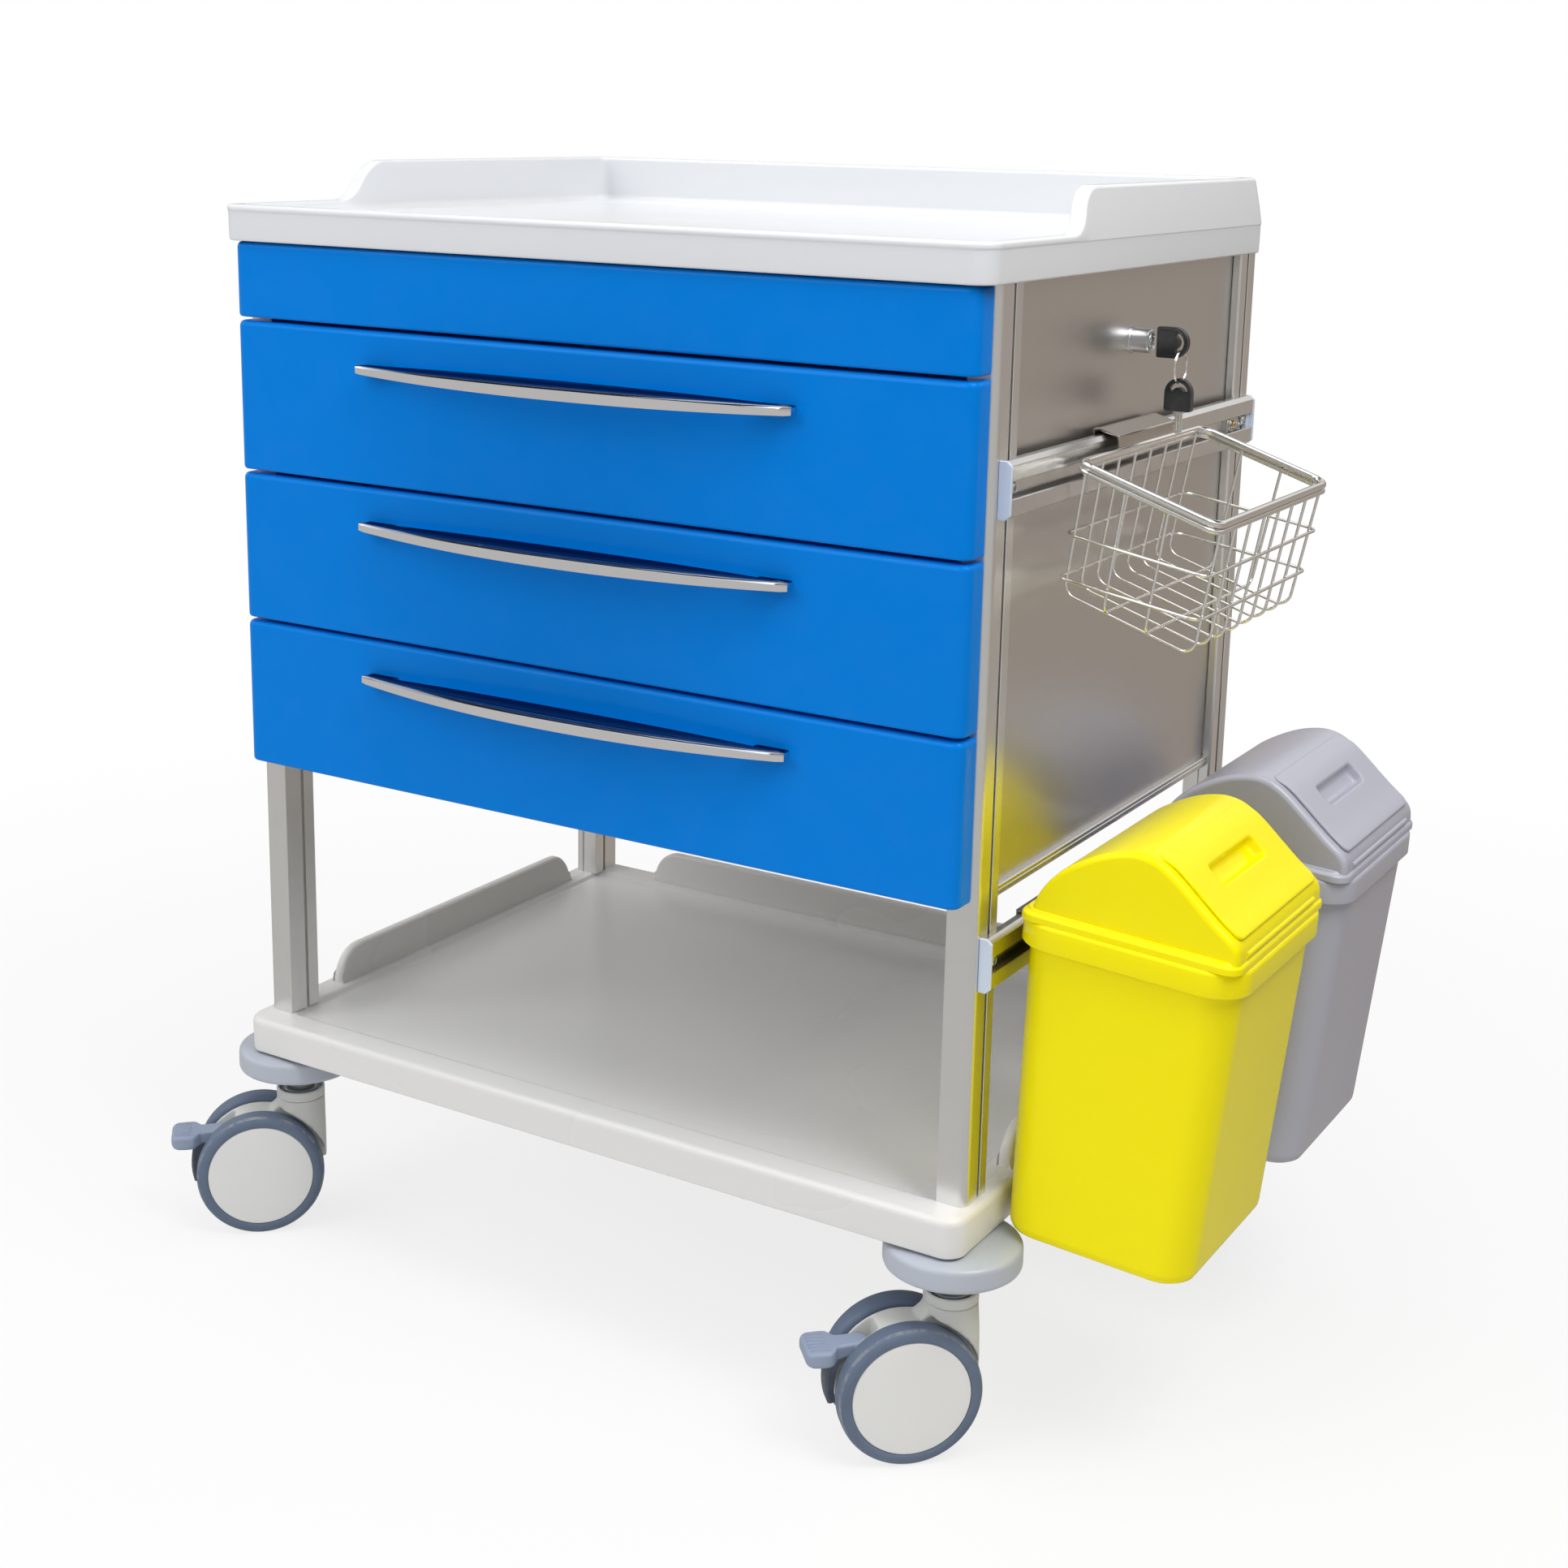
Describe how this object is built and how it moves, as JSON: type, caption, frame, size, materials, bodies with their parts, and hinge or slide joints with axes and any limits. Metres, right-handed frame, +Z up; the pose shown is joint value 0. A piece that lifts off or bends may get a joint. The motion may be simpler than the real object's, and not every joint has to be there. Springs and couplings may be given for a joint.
{
  "type": "mobile treatment cart",
  "caption": "Wheeled hospital treatment cart with tray top, lockable drawers, open lower shelf, side rails, hanging basket and lidded waste bins.",
  "frame": {"origin": "on the floor under the centre of the top tray", "axes": "+Z up, -Y towards the person who opens the drawers, +X towards the side with the accessory rails"},
  "size_m": [0.8572, 0.5243, 0.843],
  "materials": {
    "white_abs": "glossy moulded",
    "blue_front": "glossy moulded",
    "box_steel": "powder coat",
    "chrome": "polished",
    "anodised_aluminium": "satin anodised",
    "panel_aluminium": "satin anodised sheet",
    "cap_plastic": "moulded",
    "zinc_steel": "zinc plated",
    "lock_chrome": "satin chrome",
    "black_plastic": "moulded",
    "stainless_wire": "electropolished",
    "yellow_plastic": "glossy moulded",
    "grey_plastic": "glossy moulded",
    "bumper_plastic": "moulded",
    "caster_plastic": "moulded",
    "hub_plastic": "moulded cover",
    "tyre_rubber": "non-marking rubber",
    "pedal_plastic": "moulded"
  },
  "bodies": {
    "cart": {"top_tray": "white_abs", "bottom_tray": "white_abs", "corner_posts": "anodised_aluminium", "side_panel_right": "panel_aluminium", "side_panel_left": "panel_aluminium", "frame_rails": "anodised_aluminium", "back_panel": "panel_aluminium", "top_fascia": "blue_front", "runner_outer": "zinc_steel", "upper_rail": "anodised_aluminium", "lower_rail": "anodised_aluminium", "rail_end_caps": "cap_plastic", "rail_fasteners": "zinc_steel", "caster_bumpers": "bumper_plastic", "caster_stems": "zinc_steel", "lock_body": "lock_chrome"},
    "drawer_1": {"drawer_front_1": "blue_front", "drawer_box_1": "box_steel", "handle_1": "chrome", "runner_inner_1": "zinc_steel"},
    "drawer_2": {"drawer_front_2": "blue_front", "drawer_box_2": "box_steel", "handle_2": "chrome", "runner_inner_2": "zinc_steel"},
    "drawer_3": {"drawer_front_3": "blue_front", "drawer_box_3": "box_steel", "handle_3": "chrome", "runner_inner_3": "zinc_steel"},
    "lock_cylinder": {"lock_plug": "zinc_steel", "lock_cam": "zinc_steel", "key_head": "black_plastic", "key_blade": "zinc_steel"},
    "locking_bar": {"lock_bar": "zinc_steel"},
    "hanging_key": {"key_ring": "zinc_steel", "spare_key_head": "black_plastic", "spare_key_blade": "zinc_steel"},
    "basket": {"wire_basket": "stainless_wire", "basket_hook": "stainless_wire"},
    "bin_a": {"bin_a_body": "yellow_plastic", "bin_a_lid": "yellow_plastic", "bin_a_hook": "stainless_wire"},
    "bin_a_cover": {"bin_a_flap": "yellow_plastic"},
    "bin_b": {"bin_b_body": "grey_plastic", "bin_b_lid": "grey_plastic", "bin_b_hook": "stainless_wire"},
    "bin_b_cover": {"bin_b_flap": "grey_plastic"},
    "caster_front_left": {"caster_front_left_housing": "caster_plastic"},
    "wheels_front_left": {"caster_front_left_hubs": "hub_plastic", "caster_front_left_tyres": "tyre_rubber"},
    "caster_front_right": {"caster_front_right_housing": "caster_plastic"},
    "wheels_front_right": {"caster_front_right_hubs": "hub_plastic", "caster_front_right_tyres": "tyre_rubber"},
    "caster_rear_left": {"caster_rear_left_housing": "caster_plastic"},
    "wheels_rear_left": {"caster_rear_left_hubs": "hub_plastic", "caster_rear_left_tyres": "tyre_rubber"},
    "caster_rear_right": {"caster_rear_right_housing": "caster_plastic"},
    "wheels_rear_right": {"caster_rear_right_hubs": "hub_plastic", "caster_rear_right_tyres": "tyre_rubber"},
    "brake_front_left": {"caster_front_left_brake": "pedal_plastic"},
    "brake_front_right": {"caster_front_right_brake": "pedal_plastic"}
  },
  "joints": [
    {"name": "drawer_1_slide", "type": "slide", "parent": "cart", "child": "drawer_1", "axis": [0, -1, 0], "range_m": [0, 0.3]},
    {"name": "drawer_2_slide", "type": "slide", "parent": "cart", "child": "drawer_2", "axis": [0, -1, 0], "range_m": [0, 0.3]},
    {"name": "drawer_3_slide", "type": "slide", "parent": "cart", "child": "drawer_3", "axis": [0, -1, 0], "range_m": [0, 0.3]},
    {"name": "key_turn", "type": "hinge", "parent": "cart", "child": "lock_cylinder", "pos_m": [0.3, 0.0125, 0.7365], "axis": [-1, 0, 0], "range_deg": [0, 90]},
    {"name": "locking_bar_drop", "type": "slide", "parent": "cart", "child": "locking_bar", "axis": [0, 0, -1], "range_m": [0, 0.008]},
    {"name": "spare_key_swing", "type": "hinge", "parent": "lock_cylinder", "child": "hanging_key", "pos_m": [0.33705, 0.0125, 0.7365], "axis": [0, -1, 0], "range_deg": [-8, 35]},
    {"name": "basket_slide", "type": "slide", "parent": "cart", "child": "basket", "axis": [0, 1, 0], "range_m": [-0.1, 0.1]},
    {"name": "bin_a_lift", "type": "slide", "parent": "cart", "child": "bin_a", "axis": [0, 0, 1], "range_m": [0, 0.05]},
    {"name": "bin_a_cover_hinge", "type": "hinge", "parent": "bin_a", "child": "bin_a_cover", "pos_m": [0.40976, -0.103, 0.43945], "axis": [0, -1, 0], "range_deg": [0, 75]},
    {"name": "bin_b_lift", "type": "slide", "parent": "cart", "child": "bin_b", "axis": [0, 0, 1], "range_m": [0, 0.05]},
    {"name": "bin_b_cover_hinge", "type": "hinge", "parent": "bin_b", "child": "bin_b_cover", "pos_m": [0.40976, 0.1075, 0.43945], "axis": [0, -1, 0], "range_deg": [0, 75]},
    {"name": "swivel_front_left", "type": "hinge", "parent": "cart", "child": "caster_front_left", "pos_m": [-0.294, -0.1985, 0.12], "axis": [0, 0, 1], "continuous": true},
    {"name": "roll_front_left", "type": "hinge", "parent": "caster_front_left", "child": "wheels_front_left", "pos_m": [-0.31814, -0.22101, 0.05], "axis": [0.682, -0.7314, 0], "continuous": true},
    {"name": "brake_front_left_press", "type": "hinge", "parent": "caster_front_left", "child": "brake_front_left", "pos_m": [-0.34008, -0.24147, 0.078], "axis": [0.682, -0.7314, 0], "range_deg": [0, 12]},
    {"name": "swivel_front_right", "type": "hinge", "parent": "cart", "child": "caster_front_right", "pos_m": [0.294, -0.1985, 0.12], "axis": [0, 0, 1], "continuous": true},
    {"name": "roll_front_right", "type": "hinge", "parent": "caster_front_right", "child": "wheels_front_right", "pos_m": [0.26987, -0.22101, 0.05], "axis": [0.682, -0.7314, 0], "continuous": true},
    {"name": "brake_front_right_press", "type": "hinge", "parent": "caster_front_right", "child": "brake_front_right", "pos_m": [0.24793, -0.24147, 0.078], "axis": [0.682, -0.7314, 0], "range_deg": [0, 12]},
    {"name": "swivel_rear_left", "type": "hinge", "parent": "cart", "child": "caster_rear_left", "pos_m": [-0.294, 0.1985, 0.12], "axis": [0, 0, 1], "continuous": true},
    {"name": "roll_rear_left", "type": "hinge", "parent": "caster_rear_left", "child": "wheels_rear_left", "pos_m": [-0.31432, 0.1725, 0.05], "axis": [0.788, -0.6157, 0], "continuous": true},
    {"name": "swivel_rear_right", "type": "hinge", "parent": "cart", "child": "caster_rear_right", "pos_m": [0.294, 0.1985, 0.12], "axis": [0, 0, 1], "continuous": true},
    {"name": "roll_rear_right", "type": "hinge", "parent": "caster_rear_right", "child": "wheels_rear_right", "pos_m": [0.268, 0.17818, 0.05], "axis": [0.6157, -0.788, 0], "continuous": true}
  ],
  "couplings": [
    {"joint": "key_turn", "follows": "locking_bar_drop", "rad_per_m": 196.3}
  ]
}
